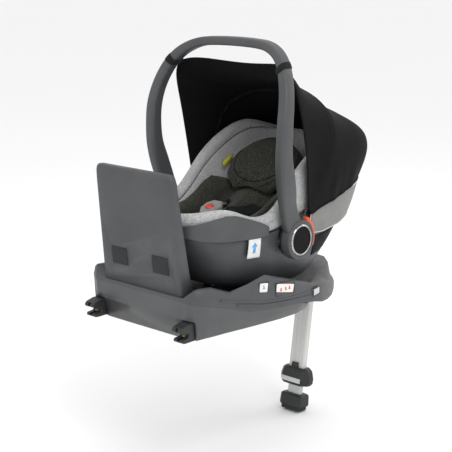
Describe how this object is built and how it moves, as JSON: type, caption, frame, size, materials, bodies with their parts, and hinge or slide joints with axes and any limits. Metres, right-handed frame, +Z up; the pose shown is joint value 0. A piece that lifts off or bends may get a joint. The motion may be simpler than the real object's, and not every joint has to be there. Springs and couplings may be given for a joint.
{
  "type": "infant car seat",
  "caption": "Rear-facing infant carrier with carry handle, stretch canopy and padded shell, latched on a base with rebound panel, slide-out anchor connectors and a telescopic support leg.",
  "frame": {"origin": "centre of the flat underside of the base", "axes": "+Z up, the longest extent; -Y towards the foot end with the rebound panel and anchor connectors, +Y towards the head end with the support leg; +X across, the shortest extent, towards the side with the indicator windows and release button"},
  "size_m": [0.437, 0.7357, 0.9841],
  "materials": {
    "charcoal_plastic": "fine matte",
    "lower_plastic": "satin",
    "dark_plastic": "matte",
    "black_plastic": "gloss",
    "grey_plastic": "satin",
    "white_plastic": "satin",
    "red_plastic": "satin",
    "orange_plastic": "satin",
    "claw_plastic": "satin",
    "steel": "brushed",
    "silver_tube": "satin anodised",
    "chrome_ring": "polished",
    "light_fabric": "melange knit",
    "skirt_fabric": "melange knit",
    "olive_fabric": "melange knit",
    "black_fabric": "plain weave",
    "webbing": "woven strap",
    "foam": "moulded bead foam",
    "rubber": "matte"
  },
  "bodies": {
    "base": {"base_upper_housing": "charcoal_plastic", "base_lower_housing": "lower_plastic", "rebound_panel": "charcoal_plastic", "rebound_panel_back_cover": "charcoal_plastic", "rebound_pad_left": "rubber", "rebound_pad_right": "rubber", "indicator_window_single": "white_plastic", "indicator_window_triple": "white_plastic", "leg_hinge_bracket": "steel", "leg_hinge_pin": "steel"},
    "latch": {"latch_slider": "dark_plastic"},
    "release_button": {"carrier_release_button": "grey_plastic"},
    "isofix_left": {"isofix_connector_left": "dark_plastic", "isofix_arm_left": "steel"},
    "isofix_right": {"isofix_connector_right": "dark_plastic", "isofix_arm_right": "steel"},
    "claw_left": {"isofix_claw_left": "claw_plastic"},
    "claw_right": {"isofix_claw_right": "claw_plastic"},
    "leg": {"leg_upper_tube": "silver_tube", "leg_collar": "dark_plastic"},
    "leg_button": {"leg_adjust_button": "grey_plastic"},
    "leg_lower": {"leg_lower_tube": "silver_tube", "leg_foot": "dark_plastic", "foot_sole": "rubber"},
    "carrier": {"seat_shell": "charcoal_plastic", "seat_cover": "light_fabric", "foam_liner": "foam", "insert_cushion": "olive_fabric", "head_pillow": "olive_fabric", "side_trim_left": "light_fabric", "side_trim_right": "light_fabric", "head_skirt": "skirt_fabric", "handle_pivot_left": "dark_plastic", "handle_pivot_right": "dark_plastic", "latch_bar_front": "steel", "latch_bar_rear": "steel", "shoulder_pad_left": "black_fabric", "shoulder_pad_right": "black_fabric", "harness_strap_left": "webbing", "harness_strap_right": "webbing", "buckle_body": "grey_plastic", "buckle_tongue_left": "steel", "buckle_tongue_right": "steel", "crotch_pad": "black_fabric", "adjuster_housing": "dark_plastic", "adjuster_strap": "webbing", "canopy_fabric": "black_fabric", "canopy_bow": "steel"},
    "buckle_release": {"buckle_button": "red_plastic"},
    "harness_release": {"adjuster_button": "grey_plastic"},
    "handle": {"handle_arch": "charcoal_plastic", "hub_ring_left": "chrome_ring", "hub_ring_right": "chrome_ring", "hub_badge_left": "black_plastic", "hub_badge_right": "black_plastic", "canopy_loop_left": "black_fabric", "canopy_loop_right": "black_fabric"},
    "handle_release_left": {"handle_button_left": "orange_plastic"},
    "handle_release_right": {"handle_button_right": "orange_plastic"}
  },
  "joints": [
    {"name": "latch_slide", "type": "slide", "parent": "base", "child": "latch", "axis": [0, 1, 0], "range_m": [0, 0.0055], "stiffness_N_per_m": 300},
    {"name": "release_button_press", "type": "slide", "parent": "base", "child": "release_button", "axis": [-0.9806, -0.1961, 0], "range_m": [0, 0.00275], "stiffness_N_per_m": 200},
    {"name": "isofix_left_slide", "type": "slide", "parent": "base", "child": "isofix_left", "axis": [0, -1, 0], "range_m": [0, 0.08]},
    {"name": "isofix_right_slide", "type": "slide", "parent": "base", "child": "isofix_right", "axis": [0, -1, 0], "range_m": [0, 0.08]},
    {"name": "claw_left_turn", "type": "hinge", "parent": "isofix_left", "child": "claw_left", "pos_m": [-0.14, -0.276, 0.03], "axis": [1, 0, 0], "range_deg": [0, 20], "stiffness_Nm_per_rad": 0.15},
    {"name": "claw_right_turn", "type": "hinge", "parent": "isofix_right", "child": "claw_right", "pos_m": [0.14, -0.276, 0.03], "axis": [1, 0, 0], "range_deg": [0, 20], "stiffness_Nm_per_rad": 0.15},
    {"name": "leg_fold", "type": "hinge", "parent": "base", "child": "leg", "pos_m": [0, 0.3187, 0.025], "axis": [1, 0, 0], "range_deg": [-62, 0]},
    {"name": "leg_button_press", "type": "slide", "parent": "leg", "child": "leg_button", "axis": [0, 0.9898, -0.1426], "range_m": [0, 0.0025], "stiffness_N_per_m": 400},
    {"name": "leg_length", "type": "slide", "parent": "leg", "child": "leg_lower", "axis": [0, -0.1426, -0.9898], "range_m": [-0.024, 0.1]},
    {"name": "carrier_lift", "type": "slide", "parent": "base", "child": "carrier", "axis": [0, 0, 1], "range_m": [0, 0.2]},
    {"name": "buckle_press", "type": "slide", "parent": "carrier", "child": "buckle_release", "axis": [0, 0.3, -0.9539], "range_m": [0, 0.0028], "stiffness_N_per_m": 400},
    {"name": "adjuster_press", "type": "slide", "parent": "carrier", "child": "harness_release", "axis": [0, 0.7022, -0.712], "range_m": [0, 0.0022], "stiffness_N_per_m": 400},
    {"name": "handle_turn", "type": "hinge", "parent": "carrier", "child": "handle", "pos_m": [0, 0.035, 0.18], "axis": [1, 0, 0], "range_deg": [-60, 60], "deforming": ["canopy_fabric", "canopy_bow"]},
    {"name": "handle_button_left_press", "type": "slide", "parent": "handle", "child": "handle_release_left", "axis": [1, 0, 0], "range_m": [0, 0.003], "stiffness_N_per_m": 400},
    {"name": "handle_button_right_press", "type": "slide", "parent": "handle", "child": "handle_release_right", "axis": [-1, 0, 0], "range_m": [0, 0.003], "stiffness_N_per_m": 400}
  ],
  "couplings": [
    {"joint": "release_button_press", "follows": "latch_slide", "ratio": 0.5}
  ]
}
